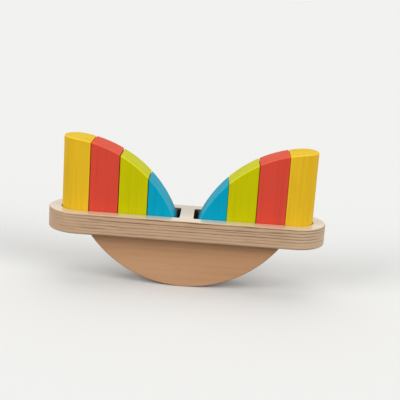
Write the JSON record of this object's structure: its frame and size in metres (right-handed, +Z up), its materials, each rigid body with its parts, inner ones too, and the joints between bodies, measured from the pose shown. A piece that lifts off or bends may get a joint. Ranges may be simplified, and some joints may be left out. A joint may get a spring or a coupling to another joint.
{
  "type": "toy balance scale",
  "caption": "Wooden balance toy: a long board on a curved rocker foot, with coloured blocks that lift out of pockets in its top.",
  "frame": {"origin": "on the surface the toy stands on, under the middle of the board, where the rocker touches", "axes": "+X along the board to the viewer's right, +Y towards the back, +Z up"},
  "size_m": [0.24, 0.055, 0.124],
  "materials": {
    "plywood": "sanded birch plywood, clear matt lacquer",
    "rocker_wood": "sanded, clear matt lacquer",
    "dowel_wood": "bare",
    "blue_paint": "satin paint on wood",
    "green_paint": "satin paint on wood",
    "red_paint": "satin paint on wood",
    "yellow_paint": "satin paint on wood"
  },
  "bodies": {
    "stand": {"board": "plywood", "rocker": "rocker_wood", "dowel_left": "dowel_wood", "dowel_right": "dowel_wood"},
    "blue_left": {"blue_block_left": "blue_paint"},
    "blue_right": {"blue_block_right": "blue_paint"},
    "green_left": {"green_block_left": "green_paint"},
    "green_right": {"green_block_right": "green_paint"},
    "red_left": {"red_block_left": "red_paint"},
    "red_right": {"red_block_right": "red_paint"},
    "yellow_left": {"yellow_block_left": "yellow_paint"},
    "yellow_right": {"yellow_block_right": "yellow_paint"}
  },
  "joints": [
    {"name": "lift_blue_left", "type": "slide", "parent": "stand", "child": "blue_left", "axis": [0, 0, 1], "range_m": [0, 0.1]},
    {"name": "lift_blue_right", "type": "slide", "parent": "stand", "child": "blue_right", "axis": [0, 0, 1], "range_m": [0, 0.1]},
    {"name": "lift_green_left", "type": "slide", "parent": "stand", "child": "green_left", "axis": [0, 0, 1], "range_m": [0, 0.1]},
    {"name": "lift_green_right", "type": "slide", "parent": "stand", "child": "green_right", "axis": [0, 0, 1], "range_m": [0, 0.1]},
    {"name": "lift_red_left", "type": "slide", "parent": "stand", "child": "red_left", "axis": [0, 0, 1], "range_m": [0, 0.1]},
    {"name": "lift_red_right", "type": "slide", "parent": "stand", "child": "red_right", "axis": [0, 0, 1], "range_m": [0, 0.1]},
    {"name": "lift_yellow_left", "type": "slide", "parent": "stand", "child": "yellow_left", "axis": [0, 0, 1], "range_m": [0, 0.1]},
    {"name": "lift_yellow_right", "type": "slide", "parent": "stand", "child": "yellow_right", "axis": [0, 0, 1], "range_m": [0, 0.1]}
  ]
}
